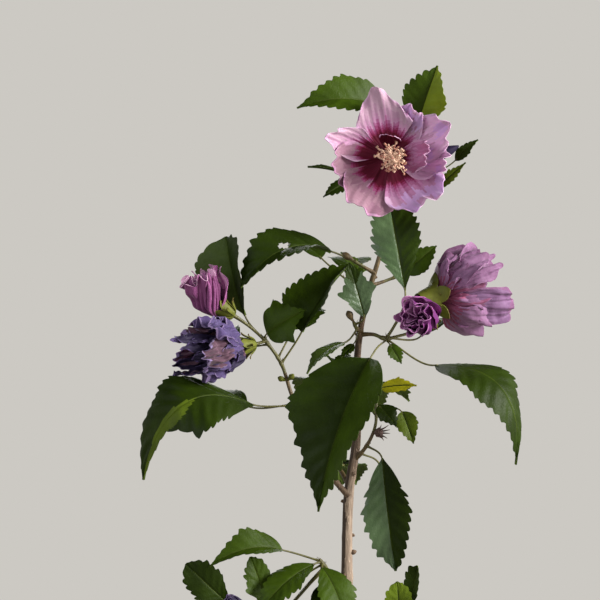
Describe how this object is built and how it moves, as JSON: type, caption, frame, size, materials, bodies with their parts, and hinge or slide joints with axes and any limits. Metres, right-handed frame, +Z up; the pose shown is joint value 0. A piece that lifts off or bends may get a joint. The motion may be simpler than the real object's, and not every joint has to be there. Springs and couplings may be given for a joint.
{
  "type": "rose of sharon in a pot",
  "caption": "Young rose of Sharon in flower, with a slender woody stem, toothed leaves on thin shoots, open mauve blooms and faded ones, in a plain clay pot.",
  "frame": {"origin": "centre of the pot's flat underside", "axes": "+Z up along the pot's axis, -Y towards the plant's best side, +X to its right as seen from there"},
  "size_m": [0.2314, 0.19, 0.6422],
  "materials": {
    "bark": "matt, lightly ridged bark",
    "leaf": "soft sheen",
    "petal_mauve": "matt, crinkled",
    "petal_plum": "matt, crinkled",
    "petal_blue": "matt, withered",
    "clay": "matt, unglazed",
    "compost": "loose, crumbly"
  },
  "bodies": {
    "root": {"trunk": "bark", "left_bough": "bark", "top_shoot": "leaf", "upper_left_spray": "leaf", "upper_right_spray": "leaf", "middle_left_spray": "leaf", "middle_right_shoot": "leaf", "right_spray": "leaf", "left_shoot": "leaf", "lower_left_shoot": "leaf", "lower_right_shoot": "leaf", "upper_back_shoot": "leaf", "middle_back_shoot": "leaf", "lower_back_shoot": "leaf", "foot_back_shoot": "leaf", "top_bloom": "petal_mauve", "right_bloom": "petal_mauve", "right_closed_bloom": "petal_plum", "pink_faded_bloom": "petal_mauve", "blue_faded_bloom": "petal_blue", "low_faded_bloom": "petal_blue", "pot": "clay", "compost": "compost"}
  },
  "joints": []
}
